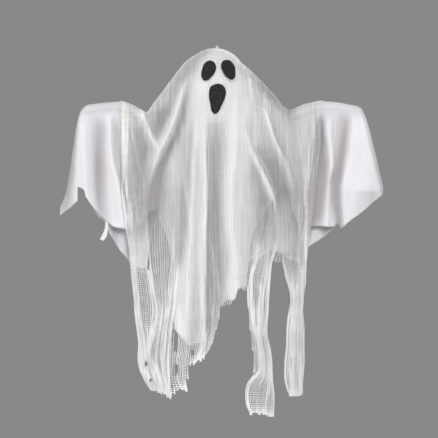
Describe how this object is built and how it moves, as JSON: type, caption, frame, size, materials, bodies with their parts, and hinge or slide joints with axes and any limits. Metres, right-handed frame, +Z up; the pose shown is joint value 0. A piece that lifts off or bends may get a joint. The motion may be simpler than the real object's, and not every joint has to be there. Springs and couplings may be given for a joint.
{
  "type": "hanging ghost decoration",
  "caption": "Hanging cloth ghost: a foam ball head and bent wire arms under a draped white sheet, with torn gauze over it and a dark felt face.",
  "frame": {"origin": "top of the knot at the crown, where the decoration hangs", "axes": "+Z up, the face looks along -Y, the arms lie along X"},
  "size_m": [0.5358, 0.1349, 0.61],
  "materials": {
    "foam": "white polystyrene foam",
    "steel_wire": "plain drawn wire",
    "white_cloth": "thin white polyester cloth",
    "gauze": "open cotton gauze, off-white",
    "dark_felt": "matt charcoal felt",
    "thread": "knotted white thread"
  },
  "bodies": {
    "root": {"head_ball": "foam", "arm_wire": "steel_wire", "left_arm_sleeve": "foam", "right_arm_sleeve": "foam", "under_sheet": "white_cloth", "gauze_overlay": "gauze", "left_eye": "dark_felt", "right_eye": "dark_felt", "mouth": "dark_felt", "hanging_knot": "thread"}
  },
  "joints": []
}
